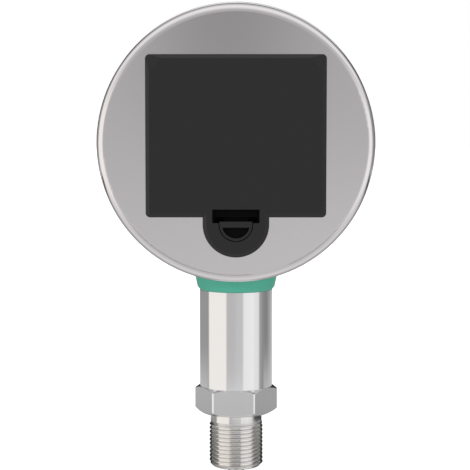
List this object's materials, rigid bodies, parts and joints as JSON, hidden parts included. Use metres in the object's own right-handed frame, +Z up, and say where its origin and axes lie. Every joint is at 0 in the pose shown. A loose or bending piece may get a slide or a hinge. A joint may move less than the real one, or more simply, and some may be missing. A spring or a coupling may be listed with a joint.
{
  "type": "digital pressure gauge",
  "caption": "Round digital pressure gauge with a steel case, a rear battery cover, a swivel collar and a bottom stem with a hexagon and male thread.",
  "frame": {"origin": "centre of the sealing face at the end of the thread, where the pilot begins", "axes": "+Z up the stem to the case, -Z out of the thread, the display faces -Y and the battery cover faces +Y"},
  "size_m": [0.1052, 0.0464, 0.1777],
  "materials": {
    "satin_stainless": "drawn stainless sheet with a fine satin grain",
    "polished_stainless": "turned and polished stainless steel",
    "turned_stainless": "machined stainless steel",
    "plated_steel": "zinc plated steel",
    "spring_steel": "nickel plated spring steel",
    "blued_steel": "blued spring steel",
    "gold_pin": "gold plated",
    "black_plastic": "fine moulded texture",
    "tray_plastic": "moulded",
    "panel_plastic": "matt printed film on moulded plastic",
    "teal_plastic": "moulded, semi gloss",
    "bearing_plastic": "natural acetal",
    "black_rubber": "matt",
    "foam": "closed cell foam",
    "strip_rubber": "silicone contact strip",
    "clear_plastic": "clear acrylic",
    "lcd": "liquid crystal glass with polariser",
    "light_guide": "frosted acrylic",
    "board": "solder mask",
    "chip": "moulded epoxy",
    "capacitor": "sleeved can",
    "socket_plastic": "nylon",
    "key_rubber": "silicone, matt",
    "lead_jacket": "PVC jacket",
    "red_wire": "PVC insulation",
    "cell_sleeve": "printed sleeve without print"
  },
  "bodies": {
    "stem": {"process_connection": "turned_stainless", "stem_housing": "polished_stainless", "sensor_capsule": "turned_stainless", "sensor_seal": "black_rubber", "sensor_clamp_ring": "turned_stainless", "sensor_pins": "gold_pin", "amplifier_board": "board", "neck_ring": "black_rubber", "stop_pin": "plated_steel", "lock_nut": "plated_steel"},
    "head": {"swivel_collar": "teal_plastic", "saddle_block": "tray_plastic", "thrust_washer": "bearing_plastic", "rear_case": "satin_stainless", "bezel_ring": "polished_stainless", "bezel_gasket": "black_rubber", "front_panel": "panel_plastic", "display_window": "clear_plastic", "lcd_glass": "lcd", "lcd_frame": "tray_plastic", "backlight_guide": "light_guide", "contact_strips": "strip_rubber", "main_board": "board", "board_chips": "chip", "board_capacitor": "capacitor", "battery_socket": "socket_plastic", "sensor_socket": "socket_plastic", "key_switches": "chip", "board_screws": "plated_steel", "sensor_lead": "lead_jacket", "battery_leads": "red_wire", "battery_tray": "tray_plastic", "tray_nuts": "plated_steel", "contact_springs": "spring_steel", "contact_plates": "spring_steel", "battery_1": "cell_sleeve", "battery_2": "cell_sleeve", "battery_3": "cell_sleeve", "battery_4": "cell_sleeve"},
    "battery_cover": {"battery_cover": "black_plastic", "cover_seal": "black_rubber", "battery_pads": "foam"},
    "cover_latch": {"cover_latch": "black_plastic", "latch_hook": "spring_steel", "latch_spring": "blued_steel"},
    "power_key": {"power_key": "key_rubber"},
    "units_key": {"units_key": "key_rubber"},
    "zero_key": {"zero_key": "key_rubber"},
    "light_key": {"light_key": "key_rubber"}
  },
  "joints": [
    {"name": "head_swivel", "type": "hinge", "parent": "stem", "child": "head", "pos_m": [0, 0, 0.0666], "axis": [0, 0, 1], "range_deg": [-165, 165]},
    {"name": "battery_cover_hinge", "type": "hinge", "parent": "head", "child": "battery_cover", "pos_m": [0, 0.02015, 0.15298], "axis": [1, 0, 0], "range_deg": [0, 85], "deforming": ["latch_hook"]},
    {"name": "cover_latch_slide", "type": "slide", "parent": "battery_cover", "child": "cover_latch", "axis": [0, 0, 1], "range_m": [0, 0.0022], "stiffness_N_per_m": 1200, "springref_m": -0.001, "deforming": ["latch_spring"]},
    {"name": "power_key_press", "type": "slide", "parent": "head", "child": "power_key", "axis": [0, 1, 0], "range_m": [0, 0.0005], "stiffness_N_per_m": 1500, "springref_m": -0.0003},
    {"name": "units_key_press", "type": "slide", "parent": "head", "child": "units_key", "axis": [0, 1, 0], "range_m": [0, 0.0005], "stiffness_N_per_m": 1500, "springref_m": -0.0003},
    {"name": "zero_key_press", "type": "slide", "parent": "head", "child": "zero_key", "axis": [0, 1, 0], "range_m": [0, 0.0005], "stiffness_N_per_m": 1500, "springref_m": -0.0003},
    {"name": "light_key_press", "type": "slide", "parent": "head", "child": "light_key", "axis": [0, 1, 0], "range_m": [0, 0.0005], "stiffness_N_per_m": 1500, "springref_m": -0.0003}
  ]
}
